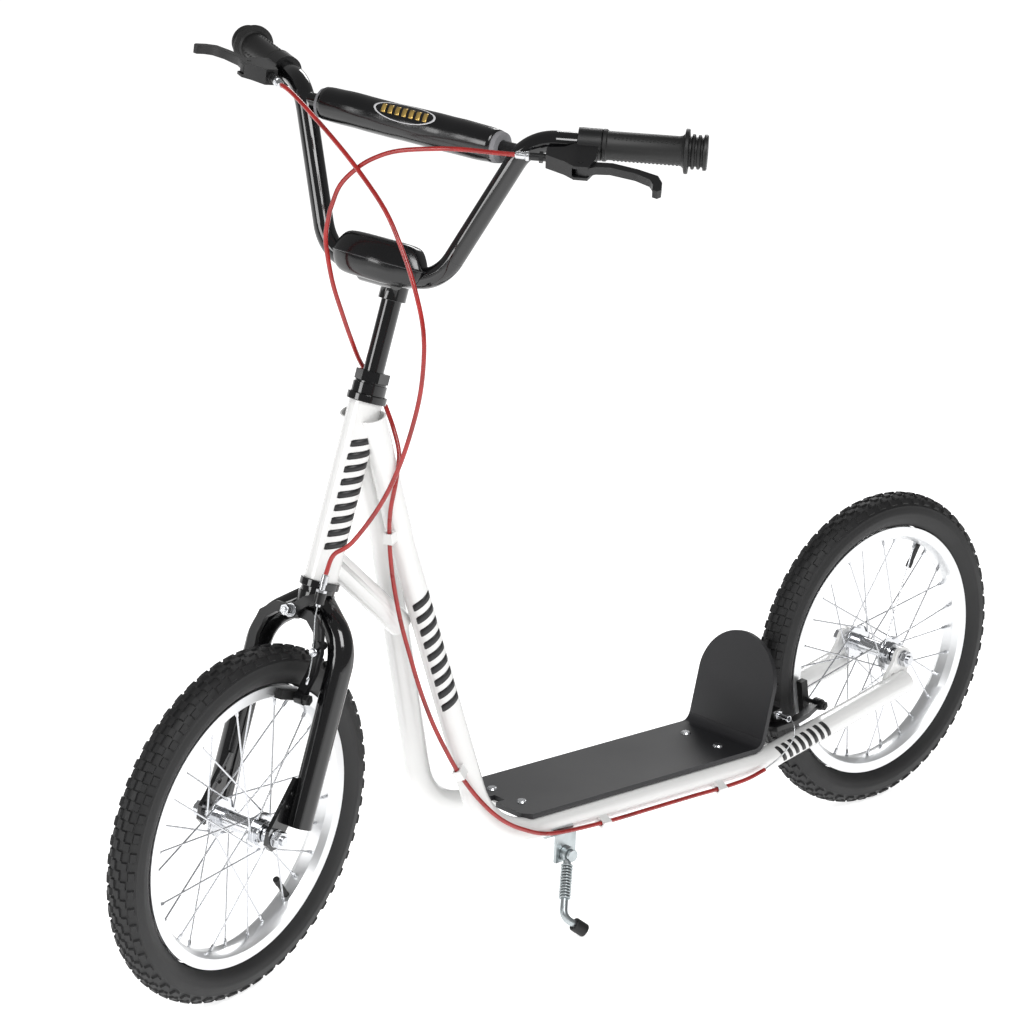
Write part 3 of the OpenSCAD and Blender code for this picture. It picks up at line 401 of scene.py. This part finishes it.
for end, axle, body in (("front", FRONT_WHEEL, "front_wheel"), ("rear", REAR_WHEEL, "rear_wheel")):
    bm = bmesh.new()
    for i in range(SPOKES):
        side = 1 if i % 2 == 0 else -1
        way = 1 if (i // 2) % 2 == 0 else -1
        at_rim = math.tau * i / SPOKES
        at_hub = at_rim - way * math.radians(SPOKE_LEAD)
        a = Vector((19 * math.cos(at_hub), 19 * math.sin(at_hub), side * 27))
        b = Vector((141.4 * math.cos(at_rim), 141.4 * math.sin(at_rim), side * 2.5))
        part = bmesh.new()
        lathe(part, NIPPLE, 8, closed=False)
        bmesh.ops.transform(part, matrix=aim(b, a), verts=part.verts)
        bmesh.ops.holes_fill(part, edges=part.edges)
        spare = bpy.data.meshes.new("spare")
        part.to_mesh(spare)
        part.free()
        bm.from_mesh(spare)
        bpy.data.meshes.remove(spare)
    finished(end + "_spoke_nipples", bm, body, SLOT_MATERIALS["bright_steel"],
             matrix=axle @ WHEEL_TO_AXLE)
print("nipples on", SPOKES, "spokes a wheel")

# %% [markdown]
# ## Grips
# A grip is a rubber sleeve with flanges at its outer end and small diamond studs for the palm. The
# sleeve is lathed, and the studs are pressed onto it in three zigzag lines.

# %% Grips
BAR_END = Vector((-40, 302, 803))
BAR_HIGH = Vector((45, 149, 772))
GRIP_PROFILE = [(11.15, -104), (15.6, -104), (16.6, -102.8), (16.6, -99.5), (15.4, -98.5),
                (14.9, -97), (14.9, -26), (15.6, -23), (17.5, -21), (22.4, -20), (23, -19.2),
                (23, -16.8), (22.4, -16), (15.4, -15.2), (15.4, -13.6), (17.6, -13), (18, -12.3),
                (18, -10.7), (17.5, -10), (15, -9.4), (15, -7.6), (17.2, -7), (17.5, -6.3),
                (17.5, -4.7), (17, -4), (15, -3.3), (15, -1.8), (18, -1), (18.5, 0), (18.2, 2.2),
                (17, 3), (7, 3), (6, 2.2), (0.3, 2.0), (0.3, 0.5), (11.15, 0.5)]


def bar_end_frame(side, tilt):
    """The frame of one bar end, in the steering frame: Z runs outwards along the grip."""
    b = BAR_END if side > 0 else other_side(BAR_END)
    high = BAR_HIGH if side > 0 else other_side(BAR_HIGH)
    out = (b - high).normalized()
    ahead = (Vector((0, 0, 1)).cross(out) * -side).normalized()
    up = ahead.cross(out) * side
    x = ahead * math.cos(math.radians(tilt)) - up * math.sin(math.radians(tilt))
    turn = Matrix((x, out.cross(x), out)).transposed().to_4x4()
    return STEERING @ Matrix.Translation(b) @ turn


for name, side in (("left_grip", 1), ("right_grip", -1)):
    bm = bmesh.new()
    lathe(bm, GRIP_PROFILE, 64)
    for line in (90, 210, 330):
        for k in range(17):
            z = -91 + k * 4
            for lean in (-5, 5):
                low, high = [], []
                middle = math.radians(line + lean * (1 if k % 2 else 0.4))
                for r, share, ring in ((14.2, 1.0, low), (15.5, 0.45, high)):
                    for dz, da in ((-1.7, 0), (0, 1.5), (1.7, 0), (0, -1.5)):
                        a = middle + da * share / r
                        ring.append((r * math.cos(a), r * math.sin(a), z + dz * share))
                box_between(bm, low, high)
    grip = finished(name + "_shape", bm, "bar", SLOT_MATERIALS["grip_rubber"],
                    (name,), matrix=bar_end_frame(side, 0), smooth=math.radians(30))
    print(grip.name, len(grip.data.polygons), "faces")

# %% [markdown]
# ## Crossbar pad
# A sheet of glossy vinyl wrapped round a foam tube and closed underneath. The foam is a little
# longer than the cover, so grey ends show. The cover is soft, so it gets shallow dents and pulls in
# at its ends.

# %% Crossbar pad
PAD_AT = STEERING @ Matrix.Translation((43.5, 0, 757))
COVER_HALF = 113
SLIT = math.radians(250)


def soft(point, size, depth):
    """How far a soft surface moves in or out at a point, in millimetres."""
    return depth * noise.noise(Vector(point) / size)


bm = bmesh.new()
rings = []
for i in range(49):
    y = -COVER_HALF + 2 * COVER_HALF * i / 48
    tuck = 1.6 * (abs(y) / COVER_HALF) ** 12
    ring = []
    for k in range(57):
        a = SLIT + math.radians(9) + (math.tau - math.radians(18)) * k / 56
        crowned = 19.3 - tuck + 0.5 * math.cos(2 * (a - 0.6))
        r = crowned + soft((14 * math.cos(a), y, 14 * math.sin(a)), 26, 0.7)
        r -= 1.8 * math.exp(-(min(k, 56 - k) / 3.0) ** 2)
        ring.append((r * math.cos(a), y, r * math.sin(a)))
    rings.append(ring)
rows = [[bm.verts.new(p) for p in ring] for ring in rings]
for a, b in zip(rows, rows[1:]):
    for k in range(56):
        bm.faces.new((a[k], a[k + 1], b[k + 1], b[k]))
cover = finished("crossbar_pad_cover", bm, "bar", SLOT_MATERIALS["pad_cover"],
                 ("crossbar_pad",), matrix=PAD_AT, smooth=math.radians(60))
wall = cover.modifiers.new("wall", "SOLIDIFY")
wall.thickness = 1.1 * MM
wall.offset = -1

bm = bmesh.new()
rings = []
for i in range(41):
    y = -118 + 236 * i / 40
    ring = []
    for k in range(40):
        a = math.tau * k / 40
        r = 17.2 + soft((20 * math.cos(a), y * 2, 20 * math.sin(a)), 5, 0.35)
        r -= 1.2 if i in (0, 40) else 0
        ring.append((r * math.cos(a), y, r * math.sin(a)))
    rings.append(ring)
for i in (40, 0):
    y = rings[i][0][1]
    rings.append([(8.2 * math.cos(math.tau * k / 40), y, 8.2 * math.sin(math.tau * k / 40))
                  for k in range(40)])
loft(bm, rings, closed=True)
foam = finished("crossbar_pad_foam", bm, "bar", FOAM, matrix=PAD_AT,
                smooth=math.radians(60))
print("cover and foam,", 2 * COVER_HALF, "and 236 mm long")

# %% [markdown]
# ## Stem pad
# A soft block over the clamp, broad in the middle and drawn in towards both ends, with a dark
# piping round its widest line. It is a loft of outlines with cut corners, one for each height.

# %% Stem pad
PAD_LEVELS = [(-3.5, 0.50, 0.42), (-3.0, 0.68, 0.62), (1, 0.84, 0.80), (10, 0.95, 0.95),
              (17, 1.0, 1.0), (20, 1.0, 1.0), (28, 0.94, 0.93), (36, 0.84, 0.82),
              (40.5, 0.76, 0.70), (42.6, 0.62, 0.52), (43.0, 0.30, 0.24)]
PAD_LOW = 594.5


def pad_outline(level, broad, deep, count=64):
    """A six-sided oblong across the bar, its corners cut and its sides a little soft."""
    ring = []
    for k in range(count):
        a = math.tau * k / count
        c, s = math.cos(a), math.sin(a)
        fwd = math.copysign(abs(c) ** 0.55, c) * 27.5 * deep
        across = math.copysign(abs(s) ** 0.85, s) * 59.5 * broad
        fwd *= 1 - 0.38 * abs(across / 60) ** 1.6
        point = Vector((38 + fwd, across, PAD_LOW + level))
        swell = 1 + soft(point, 22, 0.035)
        ring.append((38 + fwd * swell, across * swell, point.z))
    return ring


bm = bmesh.new()
loft(bm, [pad_outline(*level) for level in PAD_LEVELS])
stem_pad = finished("stem_pad_shape", bm, "bar", SLOT_MATERIALS["pad_cover"],
                    ("stem_pad",), matrix=STEERING, smooth=math.radians(70))
rounder = stem_pad.modifiers.new("rounder", "SUBSURF")
rounder.levels = 1
rounder.render_levels = 1


def tube(name, points, diameter, closed=False):
    """A round tube through points, in metres, as a mesh with closed ends."""
    curve = bpy.data.curves.new(name, "CURVE")
    curve.dimensions = "3D"
    curve.bevel_depth = diameter / 2
    curve.bevel_resolution = 3
    curve.use_fill_caps = True
    spline = curve.splines.new("POLY")
    spline.points.add(len(points) - 1)
    for spot, place in zip(spline.points, points):
        spot.co = (*place, 1)
    spline.use_cyclic_u = closed
    spare = bpy.data.objects.new("spare", curve)
    mesh = bpy.data.meshes.new_from_object(spare)
    bpy.data.objects.remove(spare)
    bm = bmesh.new()
    bm.from_mesh(mesh)
    bmesh.ops.remove_doubles(bm, verts=bm.verts, dist=0.000001)
    bpy.data.meshes.remove(mesh)
    return bm


piping = [metres(STEERING, p) for p in pad_outline(18.5, 1.004, 1.008)]
finished("stem_pad_piping", tube("piping", piping, 0.0016, closed=True), "bar", DARK_PIPING)
print("stem pad", [round(v * 1000) for v in stem_pad.dimensions], "mm")

# %% [markdown]
# ## Brake cables
# Each cable is a red housing with a bare wire below it. The routes are the CAD part's own. The front
# one runs from the bar to the fork, and the rear one's upper half is made in two pieces, split at the
# middle.

# %% Brake cables
REAR_LOWER = [(313, 3, 628), (309, 13, 604), (313, 28, 580), (322, 35, 553), (325, 31, 520),
              (319, 24, 487), (314, 25, 445), (304, 29, 394), (293, 34, 353), (281, 39, 313),
              (266, 44, 274), (250, 50, 240), (233, 55, 210), (211, 65, 178), (185, 72, 152),
              (151, 73, 132), (105, 72, 116), (22, 71, 110), (-53, 70, 109), (-123, 70, 109),
              (-166, 71, 109), (-209, 72, 111), (-238, 73, 117)]
REAR_WIRE = [(-237, 73, 117), (-262, 76, 130), (-280, 77, 148), (-287, 70, 162),
             (-288, 60, 166.4), (-288, 30, 166.4), (-288, -40, 166.4)]
REAR_UPPER = [(61, 167, 755.6), (70, 151, 753), (79, 134, 750), (88, 107, 746), (94, 77, 740),
              (96, 31, 728), (95, 3, 715), (92, -18, 700), (88, -37, 678), (82, -46, 651),
              (76, -48, 625), (70, -44, 605), (58, -36, 576), (40, -28, 548), (18, -25, 524),
              (-6, -23, 502), (-23, -12, 485)]
FRONT = [(66.6, -167.5, 767), (75, -152, 764), (82, -128, 757), (91, -70, 730), (97, -15, 700),
         (100, 35, 666), (98, 67, 631), (92, 90, 596), (84, 107, 558), (74, 112, 519),
         (64, 110, 477), (54, 100, 420), (46, 83, 371), (39, 55, 323), (36, 34, 304),
         (35.4, 30, 282)]
FRONT_WIRE = [(35.4, 30, 283), (35.4, 30, 240), (37, 37, 214), (37, 41, 190), (37, 42, 170)]
HOUSING_D = 0.005
WIRE_D = 0.0016


def smooth_route(points, per_span=5):
    """Extra points on a Catmull-Rom curve through a route."""
    p = [Vector(v) for v in points]
    p = [2 * p[0] - p[1]] + p + [2 * p[-1] - p[-2]]
    route = []
    for a, b, c, d in zip(p, p[1:], p[2:], p[3:]):
        for i in range(per_span):
            t = i / per_span
            route.append(0.5 * (2 * b + (c - a) * t + (2 * a - 5 * b + 4 * c - d) * t * t
                                + (3 * b - a - 3 * c + d) * t ** 3))
    return route + [p[-2]]


def cable_piece(name, matrix, points, diameter, mat, stands_for=(), body=None):
    route = [metres(matrix, p) for p in smooth_route(points)]
    return finished(name, tube(name, route, diameter), body, mat, stands_for,
                    smooth=math.radians(60))


RED = SLOT_MATERIALS["cable_cover"]
cable_piece("rear_cable_frame_run", FRAME, REAR_LOWER, HOUSING_D, RED, ("rear_cable_lower",),
            "frame")
cable_piece("rear_brake_wire", FRAME, REAR_WIRE, WIRE_D, WIRE, body="frame")
SPLIT = 9
upper = cable_piece("rear_cable_bar_run", STEERING, REAR_UPPER[:SPLIT + 1], HOUSING_D, RED,
                    ("rear_cable_upper",))
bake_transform(upper)
lower = cable_piece("rear_cable_headset_run", STEERING, REAR_UPPER[SPLIT:], HOUSING_D, RED)
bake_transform(lower)
front = cable_piece("front_cable_housing", STEERING, FRONT, HOUSING_D, RED, ("front_cable",))
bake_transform(front)
cable_piece("front_brake_wire", STEERING, FRONT_WIRE, WIRE_D, WIRE, body="fork")
print("six cable runs")

# %% [markdown]
# ## Cable adjusters
# Each lever bracket ends in a silver barrel with a knurled lock ring, where the housing goes in.

# %% Cable adjusters
BARREL = [(0.3, -3), (2.6, -3), (2.9, -2.6), (2.9, 6), (4.5, 6.4), (4.9, 7), (4.9, 9.6),
          (4.5, 10.2), (3.7, 10.6), (3.7, 20), (3.2, 20.8), (2.7, 21), (0.3, 21)]
for name, side, entry, mouth in (
        ("left_cable_adjuster", 1, Vector((70, 151, 753)), Vector((61, 167, 755.6))),
        ("right_cable_adjuster", -1, Vector((75, -152, 764)), Vector((66.6, -167.5, 767)))):
    bm = bmesh.new()
    lathe(bm, BARREL, 24, closed=False)
    bmesh.ops.holes_fill(bm, edges=bm.edges)
    along_cable = (entry - mouth).normalized()
    finished(name, bm, "bar", SLOT_MATERIALS["bright_steel"],
             matrix=STEERING @ aim(mouth - along_cable * 4, entry), smooth=math.radians(30))
print("two adjusters")

# %% [markdown]
# ## Wire clamp and crimps
# A bare wire is held by a small anchor bolt on the arm, and a crimped cap keeps its end together.

# %% Wire clamp and crimps
ANCHOR = [(0.3, -3.5), (4.2, -3.5), (4.6, -3), (4.6, 1), (3.6, 1.6), (3.6, 4), (2.9, 4.8), (0.3, 5)]
CRIMP = [(0.3, -4), (1.2, -4), (1.7, -3), (1.7, 3), (1.2, 4.4), (0.3, 4.4)]
for name, body, profile, place, towards in (
        ("front_wire_anchor", "front_left_caliper", ANCHOR, (36.5, 40, 200), (60, 44, 200)),
        ("front_wire_crimp", "fork", CRIMP, (37, 42, 170), (37, 41.5, 150))):
    bm = bmesh.new()
    lathe(bm, profile, 20, closed=False)
    bmesh.ops.holes_fill(bm, edges=bm.edges)
    finished(name, bm, body, SLOT_MATERIALS["bright_steel"],
             matrix=STEERING @ aim(Vector(place), Vector(towards)), smooth=math.radians(30))
print("anchor and crimp")

# %% [markdown]
# ## Graphics
# The real tubes carry slanted black print. Here it is a plain row of slanted bars: thin closed
# shells, a tenth of a millimetre proud, curved round the tube.

# %% Graphics


def slanted_bars(name, tube_frame, radius, first, count, pitch, half_angle, facing, slant, body,
                 mat=INK, thick=0.55):
    """Bars that wrap part of a tube; first and pitch run along its axis, in millimetres."""
    bm = bmesh.new()
    for n in range(count):
        rows = []
        for k in range(13):
            a = facing + half_angle * (k / 6 - 1)
            z = first + n * pitch + slant * (k / 6 - 1)
            edge = 0.8 if k in (0, 12) else 1
            rows.append([bm.verts.new((radius * math.cos(a), radius * math.sin(a),
                                       z + s * pitch * thick / 2 * edge)) for s in (-1, 1)])
        for a, b in zip(rows, rows[1:]):
            bm.faces.new((a[0], b[0], b[1], a[1]))
    piece = finished(name, bm, body, mat, matrix=tube_frame,
                     smooth=math.radians(60))
    skin = piece.modifiers.new("skin", "SOLIDIFY")
    skin.thickness = 0.12 * MM
    skin.offset = 1
    return piece


def on_tube(start, end, towards):
    """A tube's frame with Z along it and X on the side that points towards a direction."""
    z = (end - start).normalized()
    x = (towards - towards.dot(z) * z).normalized()
    return Matrix.Translation(start) @ Matrix((x, z.cross(x), z)).transposed().to_4x4()


head_low = STEERING @ Vector((0, 0, 270))
head_high = STEERING @ Vector((0, 0, 465))
slanted_bars("head_tube_graphic", on_tube(head_low, head_high, Vector((0.25, 1, 0))), 18.15, 42, 9,
             14, math.radians(44), 0, 5, "frame")
slanted_bars("down_tube_graphic",
             on_tube(Vector((186, 53, 120)), Vector((295, 15.9, 478)), Vector((0.35, 1, 0.1))), 14.45,
             182, 9, 15.5, math.radians(50), 0, 5, "frame")
slanted_bars("stay_graphic",
             on_tube(Vector((-262, 53, 120)), Vector((-503, 53, 169)), Vector((0, 1, 0.35))), 14.45,
             14, 8, 11, math.radians(46), 0, 4, "frame")

# %% [markdown]
# ## Badge
# The crossbar pad has a gold oval print with plain bars in it.

# %% Badge
OVAL_STEPS = 48


def oval_ring(name, frame_at, radius, half_y, half_angle, facing, mat, inner):
    """A thin oval ring bent over a cylinder along Y; inner is its hole's share of its size."""
    bm = bmesh.new()
    rows = []
    for share in (inner, (1 + inner) / 2, 1.0):
        row = []
        for k in range(OVAL_STEPS):
            t = math.tau * k / OVAL_STEPS
            a = facing + half_angle * share * math.sin(t)
            row.append(bm.verts.new((radius * math.cos(a), half_y * share * math.cos(t),
                                     radius * math.sin(a))))
        rows.append(row)
    for a, b in zip(rows, rows[1:]):
        for k in range(OVAL_STEPS):
            j = (k + 1) % OVAL_STEPS
            bm.faces.new((a[k], a[j], b[j], b[k]))
    piece = finished(name, bm, "bar", mat, matrix=frame_at, smooth=math.radians(60))
    skin = piece.modifiers.new("skin", "SOLIDIFY")
    skin.thickness = 0.3 * MM
    skin.offset = 1


FACE_UP = math.radians(32)
oval_ring("crossbar_badge_ring", PAD_AT, 19.95, 40, math.radians(34), FACE_UP, PIPING, 0.93)
bm = bmesh.new()
for n in range(7):
    y = 27 - 9 * n
    rows = []
    for k in range(7):
        a = FACE_UP + math.radians(15) * (k / 3 - 1)
        rows.append([bm.verts.new((20.1 * math.cos(a), y - (k / 3 - 1) * 1.5 + s * 2.7,
                                   20.1 * math.sin(a))) for s in (-1, 1)])
    for a, b in zip(rows, rows[1:]):
        bm.faces.new((a[0], b[0], b[1], a[1]))
bars = finished("crossbar_badge_bars", bm, "bar", GOLD, matrix=PAD_AT,
                smooth=math.radians(60))
skin = bars.modifiers.new("skin", "SOLIDIFY")
skin.thickness = 0.3 * MM
skin.offset = 1
print("badge on the pad")

# %% [markdown]
# ## Floor, backdrop and light
# White floor and world, one broad key from above left, a fill and a rim light, so shadows stay pale.

# %% Stage


def stage_material():
    mat = bpy.data.materials.new("studio_white")
    mat.use_nodes = True
    nodes, links = mat.node_tree.nodes, mat.node_tree.links
    shader = nodes["Principled BSDF"]
    place = nodes.new("ShaderNodeTexCoord")
    grain = nodes.new("ShaderNodeTexNoise")
    grain.inputs["Scale"].default_value = 3
    ramp = nodes.new("ShaderNodeValToRGB")
    ramp.color_ramp.elements[0].color = (0.93, 0.93, 0.93, 1)
    ramp.color_ramp.elements[1].color = (0.95, 0.95, 0.95, 1)
    links.new(place.outputs["Object"], grain.inputs["Vector"])
    links.new(grain.outputs["Fac"], ramp.inputs["Fac"])
    links.new(ramp.outputs["Color"], shader.inputs["Base Color"])
    shader.inputs["Roughness"].default_value = 0.9
    shader.inputs["Specular IOR Level"].default_value = 0.1
    shader.inputs["Emission Color"].default_value = (1, 1, 1, 1)
    shader.inputs["Emission Strength"].default_value = 0.82
    return mat


bm = bmesh.new()
bmesh.ops.create_grid(bm, x_segments=8, y_segments=8, size=30)
floor_mesh = bpy.data.meshes.new("floor")
bmesh.ops.translate(bm, verts=bm.verts, vec=(0, 0, cad_bounds[0][2]))
bm.to_mesh(floor_mesh)
bm.free()
floor = bpy.data.objects.new("floor", floor_mesh)
floor_mesh.materials.append(stage_material())
bpy.context.scene.collection.objects.link(floor)

world = bpy.data.worlds.new("studio")
bpy.context.scene.world = world
world.use_nodes = True
world.node_tree.nodes["Background"].inputs["Color"].default_value = (1, 1, 1, 1)
world.node_tree.nodes["Background"].inputs["Strength"].default_value = 0.24


def area_light(name, place, power, size, aim_at=(0, 0, 0.4)):
    data = bpy.data.lights.new(name, "AREA")
    data.energy = power
    data.size = size
    lamp = bpy.data.objects.new(name, data)
    away = Vector(place) - Vector(aim_at)
    lamp.matrix_world = (Matrix.Translation(place)
                         @ away.to_track_quat("Z", "Y").to_matrix().to_4x4())
    bpy.context.scene.collection.objects.link(lamp)


area_light("key", (1.2, 2.4, 3.2), 75, 1.6)
area_light("fill", (3.4, -0.6, 1.5), 30, 1.2)
area_light("rim", (-2.4, -1.6, 2.4), 30, 1.2)
bpy.context.scene.view_settings.view_transform = "Standard"
print("stage ready")
